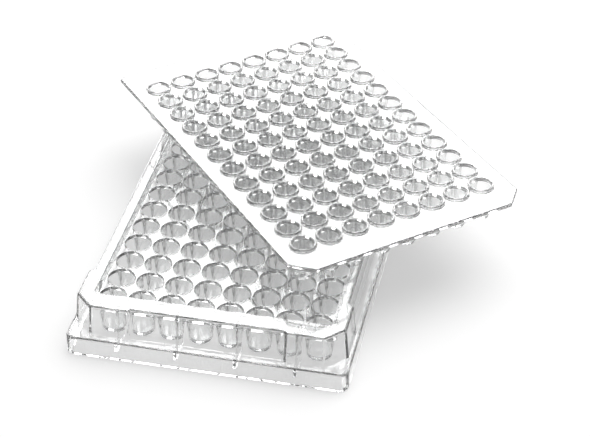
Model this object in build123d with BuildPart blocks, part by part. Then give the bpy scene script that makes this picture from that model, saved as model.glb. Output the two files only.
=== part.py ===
from build123d import *
import os
from math import atan, degrees

# A 96-well plate in clear plastic, made as two mouldings.
# The receiver base stands on its skirt: a flat rim round a sunken deck, 96 tapered wells hanging
# under the deck, and a wall that leans out from the rim to a wider flange. The insert is a thin
# plate whose 96 smaller wells hang inside the receiver's wells in use. Here it is lifted out,
# turned, and laid across the base, so its outer wells stand on the base's rim.
# Origin: centre of the base's underside. X runs across the base, Y along it, Z up. Millimetres.

# ---- Well grid, shared by both mouldings
wells_across = 8
wells_along = 12
well_pitch = 9.0

# ---- Receiver base: overall
base_width = 85.48
base_length = 127.76
base_height = 16.4

# ---- Receiver base: flange and skirt
flange_height = 6.4
flange_corner_radius = 3.2
flange_edge_radius = 0.8
skirt_thickness = 1.5
ledge_thickness = 1.3

# ---- Receiver base: wall outline at the rim, as insets from the flange
front_inset = 4.2            # middle of both short walls
front_corner_inset = 3.4     # corner blocks, on the short walls
side_inset = 3.7             # middle of both long walls
side_corner_inset = 2.1      # corner blocks, on the long walls
front_block_width = 17.0     # each corner block, measured along the short wall from the long wall
side_block_length = 16.6     # each corner block, measured along the long wall from the short wall
corner_cut = 5.4             # chamfer of the two front corners
wall_lean = 0.85             # how far the wall's foot stands out beyond the rim
wall_thickness = 1.3
rim_thickness = 1.2
rim_chamfer = 0.7

# ---- Receiver base: sunken deck that the wells open in
deck_drop = 3.8              # how far the deck lies below the rim
deck_thickness = 1.2
deck_margin = 4.4            # from the middles of the outer wells to the wall round the deck
deck_corner_radius = 1.0
deck_wall_thickness = 1.2

# ---- Wells of both mouldings: flats around each one, more of them for a rounder well
well_sides = 8

# ---- Receiver base: wells
mouth_radius = 4.15
well_floor_radius = 3.1
well_floor_thickness = 1.2
well_bottom_height = 1.4     # clearance from the table to the underside of the wells
well_bottom_radius = 3.6
well_root_radius = 4.4       # outside of a well where it meets the deck

# ---- Receiver base: webs that tie the short walls to the skirt
web_thickness = 0.8
web_spacing = 2 * well_pitch
web_count = 4
web_bottom = 2.8

# ---- Insert plate, in its own frame: X across, Y along, Z up from the well bottoms
insert_width = 80.8
insert_front = 62.5          # from the middle of its well grid to the cut-corner end
insert_back = 61.5           # from the middle of its well grid to the square-corner end
insert_corner_cut = 6.0
insert_height = 11.5
insert_thickness = 1.4
insert_mouth_radius = 3.45
insert_floor_radius = 2.7
insert_floor_thickness = 0.8
insert_root_radius = 3.9
insert_bottom_radius = 3.2

# ---- Where the insert lies on the base
insert_x = 13.9
insert_y = 25.6
insert_turn = 41.2

# ---- Worked out from the above
rim_x = base_width / 2 - side_corner_inset
rim_x_middle = base_width / 2 - side_inset
rim_y = base_length / 2 - front_corner_inset
rim_y_middle = base_length / 2 - front_inset
side_step = rim_x - rim_x_middle
front_step = rim_y - rim_y_middle
side_block_end = rim_y - side_block_length
front_block_end = rim_x - front_block_width
wall_height = base_height - flange_height
rim_underside = base_height - rim_thickness
deck_height = base_height - deck_drop
deck_underside = deck_height - deck_thickness
deck_width = (wells_across - 1) * well_pitch + 2 * deck_margin
deck_length = (wells_along - 1) * well_pitch + 2 * deck_margin
ledge_underside = flange_height - ledge_thickness
well_floor = well_bottom_height + well_floor_thickness


def tapered_well(bottom_radius, top_radius, bottom_height, top_height):
    """One many-sided taper of a well, its flats facing the wells beside it."""
    height = top_height - bottom_height
    with BuildPart() as taper:
        with BuildSketch(Plane.XY.offset(bottom_height)):
            RegularPolygon(bottom_radius, well_sides, major_radius=False, rotation=180 / well_sides)
        extrude(amount=height)
        draft(
            taper.faces().filter_by(Axis.Z, reverse=True),
            Plane.XY.offset(bottom_height),
            degrees(atan((bottom_radius - top_radius) / height)),
        )
    return taper.part


def wall_block(inset, bottom_height, top_height):
    """The inside of the wall's outline, leaning out downwards; inset is taken off it all round."""
    with BuildPart() as block:
        with BuildSketch(Plane.XY.offset(bottom_height)):
            with BuildLine():
                Polyline(*rim_right_half)
                mirror(about=Plane.YZ)
            make_face()
            if inset:
                offset(amount=-inset, kind=Kind.INTERSECTION)
        extrude(amount=top_height - bottom_height)
        draft(
            block.faces().filter_by(Axis.Z, reverse=True),
            Plane.XY.offset(base_height),
            degrees(atan(wall_lean / wall_height)),
        )
    return block.part


# Right half of the wall's outline at the rim, from the front to the back.
rim_right_half = [
    (0, -rim_y_middle),
    (front_block_end - front_step, -rim_y_middle),
    (front_block_end, -rim_y),
    (rim_x - corner_cut, -rim_y),
    (rim_x, -rim_y + corner_cut),
    (rim_x, -side_block_end),
    (rim_x_middle, -side_block_end + side_step),
    (rim_x_middle, side_block_end - side_step),
    (rim_x, side_block_end),
    (rim_x, rim_y),
    (front_block_end, rim_y),
    (front_block_end - front_step, rim_y_middle),
    (0, rim_y_middle),
]

# ---- The wall of the base: its outside, and the space inside it
wall_outside = wall_block(0, flange_height, base_height)
wall_inside = wall_block(wall_thickness, ledge_underside, rim_underside)

# ---- One well of the base: the tube under the deck, and the bore in it
base_tube = tapered_well(
    well_bottom_radius, well_root_radius, well_bottom_height, deck_underside
)
base_bore = tapered_well(well_floor_radius, mouth_radius, well_floor, deck_height)

# ---- The space under the base, which the wells hang into and the webs cross
with BuildPart() as underside:
    with BuildSketch():
        RectangleRounded(
            base_width - 2 * skirt_thickness,
            base_length - 2 * skirt_thickness,
            flange_corner_radius - skirt_thickness,
        )
    extrude(amount=ledge_underside)
    add(wall_inside)
    with Locations((0, 0, deck_underside)):
        Box(
            deck_width + 2 * deck_wall_thickness,
            deck_length + 2 * deck_wall_thickness,
            base_height,
            align=(Align.CENTER, Align.CENTER, Align.MIN),
            mode=Mode.SUBTRACT,
        )
    with GridLocations(well_pitch, well_pitch, wells_across, wells_along):
        add(base_tube, mode=Mode.SUBTRACT)
    for end in (-1, 1):
        web_inner = deck_length / 2
        web_outer = base_length / 2
        with Locations((0, end * (web_inner + web_outer) / 2, web_bottom)):
            with GridLocations(web_spacing, 1, web_count, 1):
                Box(
                    web_thickness,
                    web_outer - web_inner,
                    base_height,
                    align=(Align.CENTER, Align.CENTER, Align.MIN),
                    mode=Mode.SUBTRACT,
                )

# ---- Receiver base
with BuildPart() as base_plate:
    with BuildSketch():
        RectangleRounded(base_width, base_length, flange_corner_radius)
    extrude(amount=flange_height)
    fillet(base_plate.faces().sort_by(Axis.Z)[-1].edges(), flange_edge_radius)
    add(wall_outside)
    chamfer(base_plate.faces().sort_by(Axis.Z)[-1].edges(), rim_chamfer)
    add(underside.part, mode=Mode.SUBTRACT)
    with BuildSketch(Plane.XY.offset(deck_height)):
        RectangleRounded(deck_width, deck_length, deck_corner_radius)
    extrude(amount=deck_drop, mode=Mode.SUBTRACT)
    with GridLocations(well_pitch, well_pitch, wells_across, wells_along):
        add(base_bore, mode=Mode.SUBTRACT)

# ---- Insert plate, standing on the rim of the base on the bottoms of its wells
insert_plane = Plane((insert_x, insert_y, base_height)).rotated((0, 0, insert_turn))
insert_underside = insert_height - insert_thickness

insert_tube = tapered_well(insert_bottom_radius, insert_root_radius, 0, insert_underside)
insert_bore = tapered_well(
    insert_floor_radius, insert_mouth_radius, insert_floor_thickness, insert_height
)

with BuildPart(insert_plane) as insert_plate:
    with BuildSketch(insert_plane.offset(insert_underside)):
        with BuildLine():
            Polyline(
                (0, -insert_front),
                (insert_width / 2 - insert_corner_cut, -insert_front),
                (insert_width / 2, -insert_front + insert_corner_cut),
                (insert_width / 2, insert_back),
                (0, insert_back),
            )
            mirror(about=Plane.YZ)
        make_face()
    extrude(amount=insert_thickness)
    with GridLocations(well_pitch, well_pitch, wells_across, wells_along):
        add(insert_tube)
        add(insert_bore, mode=Mode.SUBTRACT)

# ---- Hand out each moulding as its own file
os.makedirs("parts", exist_ok=True)
base_plate.part.label = "base_plate"
export_step(base_plate.part, "parts/base_plate.step")
insert_plate.part.label = "insert_plate"
export_step(insert_plate.part, "parts/insert_plate.step")
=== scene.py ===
"""A clear 96-well plate: the receiver base, with its insert plate lifted out and laid across it."""
import logging
import math
from dataclasses import dataclass, field
from enum import Enum

import bpy
from mathutils import Matrix, Vector


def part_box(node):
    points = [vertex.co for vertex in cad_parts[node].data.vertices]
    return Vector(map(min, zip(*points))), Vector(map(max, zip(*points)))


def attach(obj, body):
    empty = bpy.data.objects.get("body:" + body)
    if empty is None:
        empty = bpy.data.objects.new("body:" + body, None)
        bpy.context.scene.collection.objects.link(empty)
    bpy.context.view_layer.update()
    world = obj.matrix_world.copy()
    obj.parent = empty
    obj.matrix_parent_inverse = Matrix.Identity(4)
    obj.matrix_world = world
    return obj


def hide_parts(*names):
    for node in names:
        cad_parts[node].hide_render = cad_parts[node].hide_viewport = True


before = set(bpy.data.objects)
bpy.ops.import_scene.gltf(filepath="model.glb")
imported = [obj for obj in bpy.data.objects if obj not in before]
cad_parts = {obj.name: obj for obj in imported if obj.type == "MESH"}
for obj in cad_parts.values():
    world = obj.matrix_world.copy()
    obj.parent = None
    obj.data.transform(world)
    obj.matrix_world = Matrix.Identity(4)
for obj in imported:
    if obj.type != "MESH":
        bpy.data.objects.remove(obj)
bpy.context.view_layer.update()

LOG = logging.getLogger("well_plate")
MM = 0.001
PAST = 1.0 * MM  # how far a cutting solid reaches past what it cuts
Point = tuple[float, float]
Loop = list[tuple[float, float, float]]


# ---------------------------------------------------------------------------------------------
# Outlines and solids
# ---------------------------------------------------------------------------------------------


class Joining(Enum):
    """How one solid is worked into another."""

    ADD = "UNION"
    CUT = "DIFFERENCE"


def mitred(points: list[Point], inset: float) -> list[Point]:
    """Move every side of a closed outline inwards, keeping its corners sharp.

    Args:
        points: corners, anticlockwise, seen from above.
        inset: distance inwards; a negative one moves the sides outwards.

    Returns:
        As many corners as there were.
    """
    moved = []
    count = len(points)
    for i in range(count):
        before, here, after = (Vector(points[(i + k) % count]) for k in (-1, 0, 1))
        first = (here - before).normalized()
        second = (after - here).normalized()
        in_first = Vector((-first.y, first.x))
        in_second = Vector((-second.y, second.x))
        bisector = in_first + in_second
        corner = here + bisector * (inset / (1 + in_first.dot(in_second)))
        moved.append((corner.x, corner.y))
    return moved


def eased(points: list[Point], radius: float, steps: int = 4) -> list[Point]:
    """Round every corner of a closed outline.

    Args:
        points: corners, anticlockwise.
        radius: radius at each corner, less where a side is too short for it.
        steps: straight pieces in each rounded corner.

    Returns:
        The outline, with steps + 1 points for every corner.
    """
    rounded = []
    count = len(points)
    for i in range(count):
        before, here, after = (Vector(points[(i + k) % count]) for k in (-1, 0, 1))
        back = before - here
        ahead = after - here
        half = back.angle(ahead) / 2
        reach = min(radius / math.tan(half), 0.45 * back.length, 0.45 * ahead.length)
        start = here + back.normalized() * reach
        end = here + ahead.normalized() * reach
        for k in range(steps + 1):
            t = k / steps
            spot = start * (1 - t) ** 2 + here * (2 * t * (1 - t)) + end * t**2
            rounded.append((spot.x, spot.y))
    return rounded


def at_height(points: list[Point], height: float) -> Loop:
    """Lift a flat outline to a height."""
    return [(x, y, height) for x, y in points]


def mesh_object(name: str, corners: Loop, faces: list[tuple[int, ...]]) -> bpy.types.Object:
    """Make an object from corners and faces and put it in the scene.

    Args:
        name: the object's name.
        corners: places of the vertices, in metres.
        faces: vertex numbers of each face.

    Returns:
        The new object.
    """
    mesh = bpy.data.meshes.new(name)
    mesh.from_pydata(corners, [], faces)
    mesh.validate()
    made = bpy.data.objects.new(name, mesh)
    bpy.context.scene.collection.objects.link(made)
    return made


def stacked(name: str, loops: list[Loop]) -> bpy.types.Object:
    """Make a closed solid from a stack of outlines.

    Args:
        name: the object's name.
        loops: outlines with as many points each, anticlockwise seen from the last one.

    Returns:
        The new object.
    """
    count = len(loops[0])
    corners = [corner for loop in loops for corner in loop]
    faces = [tuple(reversed(range(count)))]
    for level in range(len(loops) - 1):
        low = level * count
        high = low + count
        for i in range(count):
            j = (i + 1) % count
            faces.append((low + i, low + j, high + j, high + i))
    faces.append(tuple(range(high, high + count)))
    return mesh_object(name, corners, faces)


def turned(name: str, profile: list[Point], grid: "WellGrid") -> bpy.types.Object:
    """Turn a profile about an upright axis, once at each well, all in one mesh.

    Args:
        name: the object's name.
        profile: (radius, height) from the lower end of the solid to its upper end.
        grid: where each copy stands, and how many flats it has.

    Returns:
        The new object, with a closed solid at each centre.
    """
    corners: Loop = []
    faces: list[tuple[int, ...]] = []
    sides = grid.sides
    ring = [
        (math.cos(2 * math.pi * k / sides), math.sin(2 * math.pi * k / sides))
        for k in range(sides)
    ]
    for x, y in grid.centres():
        start = len(corners)
        for radius, height in profile:
            corners += [(x + radius * c, y + radius * s, height) for c, s in ring]
        faces.append(tuple(start + k for k in reversed(range(sides))))
        for level in range(len(profile) - 1):
            low = start + level * sides
            high = low + sides
            for k in range(sides):
                j = (k + 1) % sides
                faces.append((low + k, low + j, high + j, high + k))
        faces.append(tuple(high + k for k in range(sides)))
    return mesh_object(name, corners, faces)


def quarter(
    centre: Point, radius: float, start_deg: float, end_deg: float, steps: int
) -> list[Point]:
    """Points on an arc in a profile.

    Args:
        centre: (radius, height) of the arc's centre.
        radius: radius of the arc.
        start_deg: angle of its first point; 0 points outwards and 90 points up.
        end_deg: angle of its last point.
        steps: straight pieces in the arc.

    Returns:
        steps + 1 points.
    """
    angles = [
        math.radians(start_deg + (end_deg - start_deg) * k / steps) for k in range(steps + 1)
    ]
    return [
        (centre[0] + radius * math.cos(angle), centre[1] + radius * math.sin(angle))
        for angle in angles
    ]


def work_in(target: bpy.types.Object, tool: bpy.types.Object, joining: Joining) -> None:
    """Add a solid to another or cut it out, and delete the tool.

    Args:
        target: the solid that is kept.
        tool: the solid that is added or cut out.
        joining: which of the two.
    """
    modifier = target.modifiers.new("joining", "BOOLEAN")
    modifier.operation = joining.value
    modifier.solver = "MANIFOLD"
    modifier.object = tool
    bake_modifiers(target)
    bpy.data.objects.remove(tool)


def bake_modifiers(target: bpy.types.Object) -> None:
    """Replace an object's mesh with what its modifiers make of it.

    Args:
        target: the object, which loses its modifiers.
    """
    graph = bpy.context.evaluated_depsgraph_get()
    mesh = bpy.data.meshes.new_from_object(target.evaluated_get(graph))
    target.modifiers.clear()
    old = target.data
    target.data = mesh
    bpy.data.meshes.remove(old)
    mesh.name = target.name


def polish(target: bpy.types.Object, sharp_deg: float = 34.0, flat_area: float = 12 * MM**2) -> None:
    """Shade a solid smooth over its curves, with its flats true and its edges crisp.

    Args:
        target: the solid.
        sharp_deg: edges that turn by more than this stay sharp.
        flat_area: a face larger than this is a flat of the moulding, as is every level face.
    """
    mesh = target.data
    mesh.shade_smooth()
    mesh.set_sharp_from_angle(angle=math.radians(sharp_deg))
    for face in mesh.polygons:
        face.use_smooth = face.area < flat_area and abs(face.normal.z) < 0.9999


def dress(target: bpy.types.Object, material: bpy.types.Material) -> None:
    """Give a solid one material all over.

    Args:
        target: the solid.
        material: its material.
    """
    target.data.materials.clear()
    target.data.materials.append(material)
    target.data.polygons.foreach_set("material_index", [0] * len(target.data.polygons))


# ---------------------------------------------------------------------------------------------
# Finishes
# ---------------------------------------------------------------------------------------------


def spread(
    tree: bpy.types.NodeTree, taken: tuple[float, float], given: tuple[float, float]
) -> bpy.types.Node:
    """Add a node that turns one range of values into another.

    Args:
        tree: the nodes that it joins.
        taken: lowest and highest value that goes in.
        given: what comes out for each of them.

    Returns:
        The node.
    """
    node = tree.nodes.new("ShaderNodeMapRange")
    node.inputs["From Min"].default_value, node.inputs["From Max"].default_value = taken
    node.inputs["To Min"].default_value, node.inputs["To Max"].default_value = given
    return node


@dataclass(frozen=True)
class ClearPlastic:
    """Clear moulded polystyrene: how it bends and carries light, and how even its polish is."""

    name: str
    tint: tuple[float, float, float] = (0.985, 0.988, 0.988)
    refraction: float = 1.57
    roughness: float = 0.015
    haze: float = 0.05
    haze_size: float = 140.0
    haze_range: tuple[float, float] = (0.35, 0.75)
    upright_range: tuple[float, float] = (0.15, 0.5)
    wall_haze: float = 0.0
    ripple: float = 0.02
    ripple_size: float = 56.0
    ripple_height: float = 0.2 * MM
    depth_loss: float = 15.0
    shadow_pass: float = 0.89

    def material(self) -> bpy.types.Material:
        """Build the material.

        Returns:
            A new material.
        """
        made = bpy.data.materials.new(self.name)
        made.use_nodes = True
        tree = made.node_tree
        shader = tree.nodes["Principled BSDF"]
        shader.inputs["Base Color"].default_value = (*self.tint, 1.0)
        shader.inputs["IOR"].default_value = self.refraction
        shader.inputs["Transmission Weight"].default_value = 1.0
        place = tree.nodes.new("ShaderNodeTexCoord")
        self.add_haze(tree, place)
        self.add_ripple(tree, place)
        self.add_depth(tree)
        return made

    def add_haze(self, tree: bpy.types.NodeTree, place: bpy.types.Node) -> None:
        """Cloud the polish a little, and haze the upright walls, which the mould drags along.

        Args:
            tree: the material's nodes.
            place: where on the solid the light falls.
        """
        cloud = tree.nodes.new("ShaderNodeTexNoise")
        cloud.inputs["Scale"].default_value = self.haze_size
        cloud.inputs["Detail"].default_value = 4.0
        tree.links.new(place.outputs["Object"], cloud.inputs["Vector"])
        clouded = spread(tree, self.haze_range, (self.roughness, self.roughness + self.haze))
        tree.links.new(cloud.outputs["Fac"], clouded.inputs["Value"])
        facing = tree.nodes.new("ShaderNodeSeparateXYZ")
        tree.links.new(place.outputs["Normal"], facing.inputs["Vector"])
        level = tree.nodes.new("ShaderNodeMath")
        level.operation = "ABSOLUTE"
        tree.links.new(facing.outputs["Z"], level.inputs[0])
        dragged = spread(tree, self.upright_range, (self.wall_haze, 0.0))
        tree.links.new(level.outputs["Value"], dragged.inputs["Value"])
        both = tree.nodes.new("ShaderNodeMath")
        both.operation = "ADD"
        tree.links.new(clouded.outputs["Result"], both.inputs[0])
        tree.links.new(dragged.outputs["Result"], both.inputs[1])
        tree.links.new(both.outputs["Value"], tree.nodes["Principled BSDF"].inputs["Roughness"])

    def add_ripple(self, tree: bpy.types.NodeTree, place: bpy.types.Node) -> None:
        """Ripple the surface very slightly, as plastic does where it flowed into the mould.

        Args:
            tree: the material's nodes.
            place: where on the solid the light falls.
        """
        flow = tree.nodes.new("ShaderNodeTexNoise")
        flow.inputs["Scale"].default_value = self.ripple_size
        tree.links.new(place.outputs["Object"], flow.inputs["Vector"])
        bump = tree.nodes.new("ShaderNodeBump")
        bump.inputs["Strength"].default_value = self.ripple
        bump.inputs["Distance"].default_value = self.ripple_height
        tree.links.new(flow.outputs["Fac"], bump.inputs["Height"])
        tree.links.new(bump.outputs["Normal"], tree.nodes["Principled BSDF"].inputs["Normal"])

    def add_depth(self, tree: bpy.types.NodeTree) -> None:
        """Dim light that runs far inside the plastic, and let lamps shine through to the table.

        Args:
            tree: the material's nodes.
        """
        output = tree.nodes["Material Output"]
        depth = tree.nodes.new("ShaderNodeVolumeAbsorption")
        depth.inputs["Color"].default_value = (0.0, 0.0, 0.0, 1.0)
        depth.inputs["Density"].default_value = self.depth_loss
        tree.links.new(depth.outputs["Volume"], output.inputs["Volume"])
        passed = tree.nodes.new("ShaderNodeBsdfTransparent")
        passed.inputs["Color"].default_value = (*[self.shadow_pass] * 3, 1.0)
        ray = tree.nodes.new("ShaderNodeLightPath")
        shadow = tree.nodes.new("ShaderNodeMixShader")
        tree.links.new(ray.outputs["Is Shadow Ray"], shadow.inputs["Fac"])
        tree.links.new(tree.nodes["Principled BSDF"].outputs["BSDF"], shadow.inputs[1])
        tree.links.new(passed.outputs["BSDF"], shadow.inputs[2])
        tree.links.new(shadow.outputs["Shader"], output.inputs["Surface"])


@dataclass(frozen=True)
class StudioFloor:
    """The matt white light table that the plate stands on."""

    name: str = "studio_floor"
    white: float = 0.86
    uneven: float = 0.01
    grain_size: float = 60.0
    glow: float = 0.44
    size: float = 4.0
    gap: float = 0.05 * MM

    def build(self) -> bpy.types.Object:
        """Lay the floor, just under the plate.

        Returns:
            The floor object.
        """
        half = self.size / 2
        corners = at_height([(-half, -half), (half, -half), (half, half), (-half, half)], -self.gap)
        floor = mesh_object(self.name, corners, [(0, 1, 2, 3)])
        floor.data.materials.append(self.material())
        return floor

    def material(self) -> bpy.types.Material:
        """Build the floor's matt white, which glows a little and is very slightly uneven.

        Returns:
            A new material.
        """
        made = bpy.data.materials.new(self.name)
        made.use_nodes = True
        tree = made.node_tree
        shader = tree.nodes["Principled BSDF"]
        shader.inputs["Roughness"].default_value = 0.9
        shader.inputs["Specular IOR Level"].default_value = 0.1
        shader.inputs["Emission Color"].default_value = (1.0, 1.0, 1.0, 1.0)
        shader.inputs["Emission Strength"].default_value = self.glow
        grain = tree.nodes.new("ShaderNodeTexNoise")
        grain.inputs["Scale"].default_value = self.grain_size
        shade = spread(tree, (0.0, 1.0), (self.white - self.uneven, self.white + self.uneven))
        place = tree.nodes.new("ShaderNodeTexCoord")
        tree.links.new(place.outputs["Object"], grain.inputs["Vector"])
        tree.links.new(grain.outputs["Fac"], shade.inputs["Value"])
        tree.links.new(shade.outputs["Result"], shader.inputs["Base Color"])
        return made


# ---------------------------------------------------------------------------------------------
# The two mouldings
# ---------------------------------------------------------------------------------------------


@dataclass
class WellGrid:
    """The grid of wells that both mouldings share."""

    across: int = 8
    along: int = 12
    pitch: float = 9.0 * MM
    sides: int = 40

    def centres(self) -> list[Point]:
        """Centre of every well, about the middle of the grid."""
        return [
            ((i - (self.across - 1) / 2) * self.pitch, (j - (self.along - 1) / 2) * self.pitch)
            for j in range(self.along)
            for i in range(self.across)
        ]

    def last_row(self) -> float:
        """Distance from the middle of the grid to its last row."""
        return (self.along - 1) / 2 * self.pitch


@dataclass
class ReceiverBase:
    """The base: a rim round a sunken deck with its wells, a leaning wall, a flange and a skirt."""

    grid: WellGrid
    width: float
    length: float
    height: float
    flange_height: float = 6.4 * MM
    flange_corner_radius: float = 3.2 * MM
    flange_edge_radius: float = 0.8 * MM
    foot_chamfer: float = 0.15 * MM
    skirt_thickness: float = 1.5 * MM
    ledge_thickness: float = 1.3 * MM
    front_inset: float = 4.2 * MM
    front_corner_inset: float = 3.4 * MM
    side_inset: float = 3.7 * MM
    side_corner_inset: float = 2.1 * MM
    front_block_width: float = 17.0 * MM
    side_block_length: float = 16.6 * MM
    corner_cut: float = 5.4 * MM
    wall_lean: float = 0.85 * MM
    wall_thickness: float = 1.3 * MM
    wall_corner_radius: float = 0.5 * MM
    rim_thickness: float = 1.2 * MM
    rim_radius: float = 0.7 * MM
    deck_drop: float = 3.8 * MM
    deck_thickness: float = 1.2 * MM
    deck_margin: float = 4.4 * MM
    deck_corner_radius: float = 1.0 * MM
    deck_wall_thickness: float = 1.2 * MM
    mouth_radius: float = 4.15 * MM
    mouth_flare: float = 0.1 * MM
    floor_radius: float = 3.15 * MM
    floor_round: float = 0.7 * MM
    floor_thickness: float = 1.2 * MM
    bottom_height: float = 1.4 * MM
    bottom_radius: float = 3.65 * MM
    bottom_round: float = 1.0 * MM
    root_radius: float = 4.42 * MM
    web_thickness: float = 0.8 * MM
    web_bottom: float = 2.8 * MM
    web_columns: tuple[int, ...] = (-3, -1, 1, 3)

    def rim_outline(self) -> list[Point]:
        """Outline of the wall at the rim, with its corner blocks and cut corners.

        Returns:
            Corners, anticlockwise from the front.
        """
        x_block = self.width / 2 - self.side_corner_inset
        x_middle = self.width / 2 - self.side_inset
        y_block = self.length / 2 - self.front_corner_inset
        y_middle = self.length / 2 - self.front_inset
        side_step = x_block - x_middle
        front_step = y_block - y_middle
        block_x = x_block - self.front_block_width
        block_y = y_block - self.side_block_length
        right = [
            (block_x - front_step, -y_middle),
            (block_x, -y_block),
            (x_block - self.corner_cut, -y_block),
            (x_block, -y_block + self.corner_cut),
            (x_block, -block_y),
            (x_middle, -block_y + side_step),
            (x_middle, block_y - side_step),
            (x_block, block_y),
            (x_block, y_block),
            (block_x, y_block),
            (block_x - front_step, y_middle),
        ]
        left = [(-x, y) for x, y in reversed(right)]
        return right + left

    def wall_loop(self, inset: float, height: float) -> Loop:
        """Outline of the wall at a height, leaning out towards its foot.

        Args:
            inset: distance inwards from the wall's outside.
            height: height of the outline.

        Returns:
            The outline at that height.
        """
        lean = self.wall_lean * (self.height - height) / (self.height - self.flange_height)
        outline = mitred(self.rim_outline(), inset - lean)
        return at_height(eased(outline, self.wall_corner_radius + inset / 4), height)

    def plan_loop(self, inset: float, height: float) -> Loop:
        """Outline of the flange at a height.

        Args:
            inset: distance inwards from the flange's outside.
            height: height of the outline.

        Returns:
            The outline at that height.
        """
        x = self.width / 2 - inset
        y = self.length / 2 - inset
        corners = [(-x, -y), (x, -y), (x, y), (-x, y)]
        return at_height(eased(corners, self.flange_corner_radius - inset, 8), height)

    def deck_height(self) -> float:
        """Height of the sunken deck that the wells open in."""
        return self.height - self.deck_drop

    def deck_block(self, name: str, outset: float, low: float, high: float) -> bpy.types.Object:
        """Make an upright block on the outline of the sunken deck.

        Args:
            name: the block's name.
            outset: distance outwards from the deck's outline.
            low: height of the block's underside.
            high: height of its top.

        Returns:
            The block.
        """
        x = (self.grid.across - 1) / 2 * self.grid.pitch + self.deck_margin + outset
        y = self.grid.last_row() + self.deck_margin + outset
        corners = eased(
            [(-x, -y), (x, -y), (x, y), (-x, y)], self.deck_corner_radius + outset, 6
        )
        return stacked(name, [at_height(corners, low), at_height(corners, high)])

    def flange(self) -> bpy.types.Object:
        """Flange and skirt, as a block with its upper edge rounded.

        Returns:
            The block that the rest of the base is worked into.
        """
        radius = self.flange_edge_radius
        edge = quarter((-radius, self.flange_height - radius), radius, 0, 90, 5)
        loops = [self.plan_loop(self.foot_chamfer, 0.0), self.plan_loop(0.0, self.foot_chamfer)]
        loops += [self.plan_loop(-x, z) for x, z in edge]
        return stacked("base_plate_look", loops)

    def wall(self) -> bpy.types.Object:
        """The leaning wall, as a block with its rim rounded.

        Returns:
            The block, reaching down into the flange.
        """
        radius = self.rim_radius
        rim = quarter((-radius, self.height - radius), radius, 0, 90, 5)
        loops = [self.wall_loop(0.0, self.flange_height - self.ledge_thickness / 2)]
        loops += [self.wall_loop(-x, z) for x, z in rim]
        return stacked("wall", loops)

    def skirt_space(self) -> bpy.types.Object:
        """The hollow inside the skirt, up to the ledge."""
        heights = (-PAST, self.flange_height - self.ledge_thickness)
        return stacked("skirt_space", [self.plan_loop(self.skirt_thickness, z) for z in heights])

    def wall_space(self) -> bpy.types.Object:
        """The hollow inside the wall, from within the skirt up to the rim."""
        heights = (self.flange_height - 1.5 * self.ledge_thickness, self.height - self.rim_thickness)
        return stacked("wall_space", [self.wall_loop(self.wall_thickness, z) for z in heights])

    def tubes(self) -> bpy.types.Object:
        """Outsides of the wells, reaching up into the deck.

        Returns:
            All the tubes in one object.
        """
        r = self.bottom_round
        under_deck = self.deck_height() - self.deck_thickness
        profile = [(self.bottom_radius / 2, self.bottom_height)]
        profile += quarter((self.bottom_radius - r, self.bottom_height + r), r, -90, 0, 4)
        profile.append((self.root_radius, under_deck))
        profile.append((self.root_radius, under_deck + self.deck_thickness / 3))
        return turned("tubes", profile, self.grid)

    def bores(self) -> bpy.types.Object:
        """Insides of the wells, with a small flare at the mouth.

        Returns:
            All the bores in one object.
        """
        low = self.bottom_height + self.floor_thickness
        r = self.floor_round
        flare = self.mouth_flare
        deck = self.deck_height()
        profile = [(self.floor_radius / 2, low)]
        profile += quarter((self.floor_radius - r, low + r), r, -90, 0, 4)
        profile += quarter((self.mouth_radius + flare, deck - flare), flare, 180, 90, 3)
        profile.append((self.mouth_radius + flare, deck + PAST))
        return turned("bores", profile, self.grid)

    def web(self, column: int, end: int) -> bpy.types.Object:
        """One upright web between a short wall and the row of wells beside it.

        Args:
            column: place across the plate, in half pitches from the middle.
            end: -1 for the front wall, 1 for the back wall.

        Returns:
            The web.
        """
        top = self.height - self.rim_thickness / 2
        ledge = self.flange_height - self.ledge_thickness / 2
        wall = self.length / 2 - self.front_inset - self.wall_thickness / 2
        foot = wall + self.wall_lean
        skirt = self.length / 2 - self.skirt_thickness / 2
        inner = self.grid.last_row() + self.deck_margin + self.deck_wall_thickness / 2
        side = [
            (inner, self.web_bottom),
            (skirt, self.web_bottom),
            (skirt, ledge),
            (foot, ledge),
            (wall, top),
            (inner, top),
        ]
        x = column * self.grid.pitch
        half = self.web_thickness / 2
        left = [(x - half, end * y, z) for y, z in side]
        right = [(x + half, end * y, z) for y, z in side]
        if end < 0:
            left, right = right, left
        return stacked("web", [left, right])

    def build(self) -> bpy.types.Object:
        """Make the whole base.

        Returns:
            The finished solid.
        """
        base = self.flange()
        work_in(base, self.wall(), Joining.ADD)
        work_in(base, self.skirt_space(), Joining.CUT)
        work_in(base, self.wall_space(), Joining.CUT)
        deck = self.deck_height()
        block_height = (deck - self.deck_thickness, self.height - self.rim_thickness / 2)
        block = self.deck_block("deck_block", self.deck_wall_thickness, *block_height)
        work_in(base, block, Joining.ADD)
        work_in(base, self.tubes(), Joining.ADD)
        for end in (-1, 1):
            for column in self.web_columns:
                work_in(base, self.web(column, end), Joining.ADD)
        work_in(base, self.deck_block("sunken", 0.0, deck, self.height + PAST), Joining.CUT)
        work_in(base, self.bores(), Joining.CUT)
        polish(base)
        return base


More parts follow.
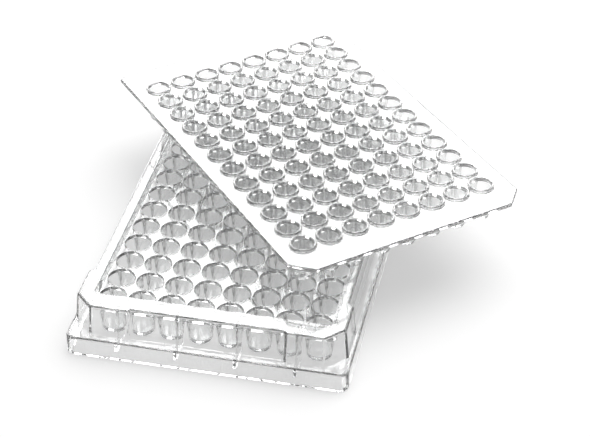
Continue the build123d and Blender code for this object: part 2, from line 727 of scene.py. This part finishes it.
@dataclass
class InsertPlate:
    """The insert: a thin plate with raised rims and hanging wells, in its own upright frame."""

    grid: WellGrid
    width: float = 80.8 * MM
    front: float = 62.5 * MM
    back: float = 61.5 * MM
    corner_cut: float = 6.0 * MM
    corner_radius: float = 1.2 * MM
    height: float = 12.1 * MM
    thickness: float = 1.4 * MM
    edge_radius: float = 0.6 * MM
    rim_height: float = 0.6 * MM
    rim_radius: float = 4.2 * MM
    rim_edge: float = 0.25 * MM
    mouth_radius: float = 3.45 * MM
    mouth_flare: float = 0.1 * MM
    floor_radius: float = 2.7 * MM
    floor_round: float = 0.5 * MM
    floor_thickness: float = 0.8 * MM
    bottom_radius: float = 3.2 * MM
    bottom_round: float = 0.7 * MM
    root_radius: float = 4.4 * MM
    root_reach: float = 0.5 * MM

    def outline(self, inset: float) -> list[Point]:
        """Outline of the plate, with its two cut corners at the front.

        Args:
            inset: distance inwards from the plate's edge.

        Returns:
            Points, anticlockwise.
        """
        x = self.width / 2
        cut = self.corner_cut
        corners = [
            (-x + cut, -self.front),
            (x - cut, -self.front),
            (x, -self.front + cut),
            (x, self.back),
            (-x, self.back),
            (-x, -self.front + cut),
        ]
        return eased(mitred(corners, inset), self.corner_radius)

    def top(self) -> float:
        """Height of the plate's upper face, which the rims stand on."""
        return self.height - self.rim_height

    def plate(self) -> bpy.types.Object:
        """The flat plate, with its edge rounded above and below.

        Returns:
            The plate.
        """
        top = self.top()
        r = self.edge_radius
        edge = quarter((-r, top - self.thickness + r), r, -90, 0, 4)
        edge += quarter((-r, top - r), r, 0, 90, 4)
        return stacked("insert_plate_look", [at_height(self.outline(-x), z) for x, z in edge])

    def tubes(self) -> bpy.types.Object:
        """Outsides of the wells, reaching up into the plate.

        Returns:
            All the tubes in one object.
        """
        r = self.bottom_round
        under = self.top() - self.thickness
        profile = [(self.bottom_radius / 2, 0.0)]
        profile += quarter((self.bottom_radius - r, r), r, -90, 0, 3)
        profile += [(self.root_radius, under), (self.root_radius, under + self.root_reach)]
        return turned("tubes", profile, self.grid)

    def rims(self) -> bpy.types.Object:
        """Raised rims round the wells, reaching down into the plate.

        Returns:
            All the rims in one object.
        """
        r = self.rim_edge
        profile = [(self.rim_radius, self.top() - self.root_reach)]
        profile += quarter((self.rim_radius - r, self.height - r), r, 0, 90, 3)
        return turned("rims", profile, self.grid)

    def bores(self) -> bpy.types.Object:
        """Insides of the wells, with a small flare at the mouth.

        Returns:
            All the bores in one object.
        """
        low = self.floor_thickness
        r = self.floor_round
        flare = self.mouth_flare
        profile = [(self.floor_radius / 2, low)]
        profile += quarter((self.floor_radius - r, low + r), r, -90, 0, 3)
        profile += quarter((self.mouth_radius + flare, self.height - flare), flare, 180, 90, 3)
        profile.append((self.mouth_radius + flare, self.height + PAST))
        return turned("bores", profile, self.grid)

    def build(self) -> bpy.types.Object:
        """Make the whole insert, standing on the bottoms of its wells at height 0.

        Returns:
            The finished solid.
        """
        insert = self.plate()
        work_in(insert, self.tubes(), Joining.ADD)
        work_in(insert, self.rims(), Joining.ADD)
        work_in(insert, self.bores(), Joining.CUT)
        polish(insert)
        return insert


@dataclass
class InsertPlace:
    """Where the insert lies: its middle, from the base's, and how far it is turned."""

    x: float = 13.9 * MM
    y: float = 25.6 * MM
    turn_deg: float = 41.2
    gap: float = 0.05 * MM

    def settle(self, insert: bpy.types.Object, rim: float) -> None:
        """Lay the insert on the base's rim, a hair above it, with its place kept in its mesh.

        Two clear solids that share a face would show it black, so a sliver of air is left.

        Args:
            insert: the insert, standing at height 0 about the origin.
            rim: height of the base's rim.
        """
        turn = Matrix.Rotation(math.radians(self.turn_deg), 4, "Z")
        insert.data.transform(Matrix.Translation((self.x, self.y, rim + self.gap)) @ turn)


# ---------------------------------------------------------------------------------------------
# The studio
# ---------------------------------------------------------------------------------------------


@dataclass
class Softbox:
    """A large soft lamp, aimed at the plate: one seen in the plastic, or one to light the table."""

    name: str
    azimuth_deg: float
    elevation_deg: float
    distance: float
    width: float
    depth: float
    glow: float
    seen: bool = True

    def build(self, aim: Vector) -> None:
        """Hang the lamp.

        Args:
            aim: the point it faces.
        """
        azimuth = math.radians(self.azimuth_deg)
        elevation = math.radians(self.elevation_deg)
        away = Vector(
            (
                -math.sin(azimuth) * math.cos(elevation),
                math.cos(azimuth) * math.cos(elevation),
                math.sin(elevation),
            )
        )
        lamp = bpy.data.lights.new(self.name, "AREA")
        lamp.shape = "RECTANGLE"
        lamp.size = self.width
        lamp.size_y = self.depth
        lamp.energy = self.glow * math.pi * self.width * self.depth
        hung = bpy.data.objects.new(self.name, lamp)
        hung.location = aim + away * self.distance
        hung.rotation_euler = (-away).to_track_quat("-Z", "Y").to_euler()
        hung.visible_diffuse = not self.seen
        hung.visible_glossy = self.seen
        hung.visible_transmission = self.seen
        bpy.context.scene.collection.objects.link(hung)


@dataclass
class Studio:
    """Lamps, surroundings and camera."""

    aim: Vector = field(default_factory=lambda: Vector((14.44 * MM, -4.96 * MM, 16.4 * MM)))
    camera_azimuth_deg: float = 12.303
    camera_elevation_deg: float = 36.116
    camera_distance: float = 576.5 * MM
    camera_lens: float = 112.65
    front_wall: float = 0.12
    back_wall: float = 0.18
    wall_span: tuple[float, float] = (-0.6, 0.5)
    back_glow: float = 7.0
    table_glow: float = 2.45

    def camera(self) -> None:
        """Set up the camera, looking down at the plate from its front right."""
        azimuth = math.radians(self.camera_azimuth_deg)
        elevation = math.radians(self.camera_elevation_deg)
        ahead = Vector(
            (
                -math.sin(azimuth) * math.cos(elevation),
                math.cos(azimuth) * math.cos(elevation),
                -math.sin(elevation),
            )
        )
        data = bpy.data.cameras.new("camera")
        data.lens = self.camera_lens
        data.sensor_width = 36.0
        data.clip_start = 0.01
        made = bpy.data.objects.new("camera", data)
        made.location = self.aim - ahead * self.camera_distance
        made.rotation_euler = ahead.to_track_quat("-Z", "Y").to_euler()
        bpy.context.scene.collection.objects.link(made)
        bpy.context.scene.camera = made

    def lights(self) -> None:
        """Hang a softbox behind, for level faces to mirror, and a lamp over the table."""
        Softbox(
            "back_softbox",
            azimuth_deg=self.camera_azimuth_deg - 2.0,
            elevation_deg=38.0,
            distance=1.3,
            width=0.75,
            depth=0.6,
            glow=self.back_glow,
        ).build(self.aim)
        Softbox(
            "table_lamp",
            azimuth_deg=self.camera_azimuth_deg - 35.0,
            elevation_deg=63.0,
            distance=1.3,
            width=1.4,
            depth=1.4,
            glow=self.table_glow,
            seen=False,
        ).build(self.aim)

    def surroundings(self) -> None:
        """Darken the room all round, most of all behind the camera."""
        world = bpy.data.worlds.new("studio")
        world.use_nodes = True
        tree = world.node_tree
        place = tree.nodes.new("ShaderNodeTexCoord")
        facing = tree.nodes.new("ShaderNodeVectorMath")
        facing.operation = "DOT_PRODUCT"
        azimuth = math.radians(self.camera_azimuth_deg)
        facing.inputs[1].default_value = (-math.sin(azimuth), math.cos(azimuth), 0.0)
        tree.links.new(place.outputs["Generated"], facing.inputs[0])
        wall = spread(tree, self.wall_span, (self.front_wall, self.back_wall))
        wall.interpolation_type = "SMOOTHSTEP"
        tree.links.new(facing.outputs["Value"], wall.inputs["Value"])
        shade = tree.nodes["Background"]
        shade.inputs["Color"].default_value = (1.0, 1.0, 1.0, 1.0)
        tree.links.new(wall.outputs["Result"], shade.inputs["Strength"])
        bpy.context.scene.world = world

    def develop(self) -> None:
        """Set how light is carried through clear plastic and shown."""
        scene = bpy.context.scene
        scene.view_settings.view_transform = "Standard"
        scene.cycles.max_bounces = 80
        scene.cycles.transmission_bounces = 80
        scene.cycles.glossy_bounces = 64
        scene.cycles.diffuse_bounces = 6
        scene.cycles.use_denoising = True
        scene.cycles.caustics_refractive = False
        scene.cycles.transparent_max_bounces = 80


def main() -> None:
    """Build both mouldings, dress them, and set up the studio."""
    logging.basicConfig(level=logging.INFO, format="%(name)s: %(message)s")
    low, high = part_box("base_plate")
    grid = WellGrid()
    base = ReceiverBase(grid, high[0] - low[0], high[1] - low[1], high[2] - low[2])
    base_look = base.build()
    dress(base_look, ClearPlastic("clear_base").material())
    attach(base_look, "root")
    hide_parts("base_plate")
    LOG.info("base: %d faces", len(base_look.data.polygons))

    insert_look = InsertPlate(grid).build()
    InsertPlace().settle(insert_look, high[2])
    insert_plastic = ClearPlastic("clear_insert", wall_haze=0.11, depth_loss=10.0, shadow_pass=0.68)
    dress(insert_look, insert_plastic.material())
    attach(insert_look, "root")
    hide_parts("insert_plate")
    LOG.info("insert: %d faces", len(insert_look.data.polygons))

    StudioFloor().build()
    studio = Studio()
    studio.lights()
    studio.surroundings()
    studio.camera()
    studio.develop()


if __name__ == "__main__":
    main()
